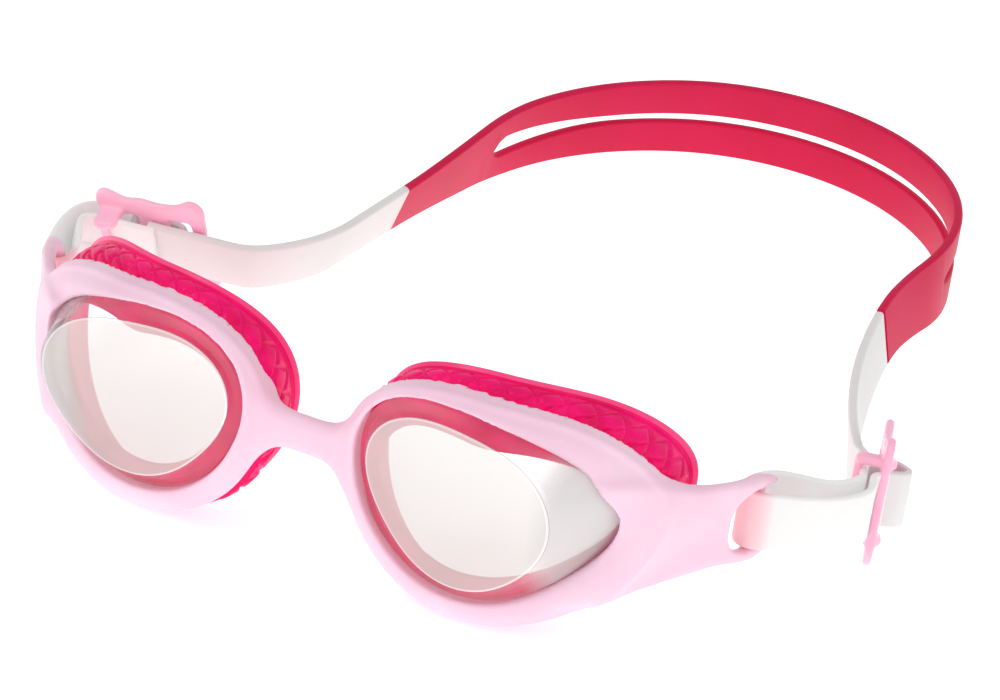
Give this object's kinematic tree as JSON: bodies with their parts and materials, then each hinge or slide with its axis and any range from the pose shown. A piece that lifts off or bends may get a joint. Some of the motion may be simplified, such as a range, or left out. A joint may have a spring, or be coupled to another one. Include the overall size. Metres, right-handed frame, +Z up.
{
  "type": "swim goggles",
  "caption": "Swim goggles: one-piece rim frame, clear raised lenses, soft lattice gaskets and a head strap on posts that runs through sliding buckles and splits in two behind the head.",
  "frame": {"origin": "middle of the flat front of the nose bridge, level with the lens centres", "axes": "+Z up, -Y forward out of the lenses, +X to the wearer's left"},
  "size_m": [0.1782, 0.1878, 0.0458],
  "materials": {
    "frame": "soft-touch pale pink moulding",
    "lens": "clear polished",
    "gasket": "hot pink translucent soft gasket",
    "strap_colour": "satin magenta silicone",
    "strap_white": "satin translucent white silicone",
    "buckle": "satin pink moulding"
  },
  "bodies": {
    "goggles": {"front_frame": "frame", "left_lens": "lens", "right_lens": "lens", "left_gasket": "gasket", "right_gasket": "gasket"},
    "right_strap": {"right_strap_end": "strap_white"},
    "left_strap": {"left_strap_end": "strap_white"},
    "back_strap": {"strap_back": "strap_colour"},
    "right_clip": {"right_buckle": "buckle"},
    "left_clip": {"left_buckle": "buckle"}
  },
  "joints": [
    {"name": "strap_sway", "type": "hinge", "parent": "goggles", "child": "right_strap", "pos_m": [-0.071, 0.0354, -0.0084], "axis": [0, 0, 1], "range_deg": [-8, 8]},
    {"name": "left_strap_swing", "type": "hinge", "parent": "goggles", "child": "left_strap", "pos_m": [0.071, 0.0354, -0.0084], "axis": [0, 0, 1], "range_deg": [-6.34, 6.34]},
    {"name": "back_strap_flex", "type": "hinge", "parent": "right_strap", "child": "back_strap", "pos_m": [-0.03064, 0.0984, -0.0084], "axis": [0, 0, 1], "range_deg": [-11.27, 11.27]},
    {"name": "right_buckle_slide", "type": "slide", "parent": "right_strap", "child": "right_clip", "axis": [0.9925, 0.1219, 0], "range_m": [-0.001, 0.004]},
    {"name": "left_buckle_slide", "type": "slide", "parent": "left_strap", "child": "left_clip", "axis": [-0.4396, 0.8267, -0.3511], "range_m": [-0.001, 0.004]}
  ],
  "couplings": [
    {"joint": "left_strap_swing", "follows": "strap_sway", "ratio": 0.7928},
    {"joint": "back_strap_flex", "follows": "strap_sway", "ratio": -1.4084}
  ]
}
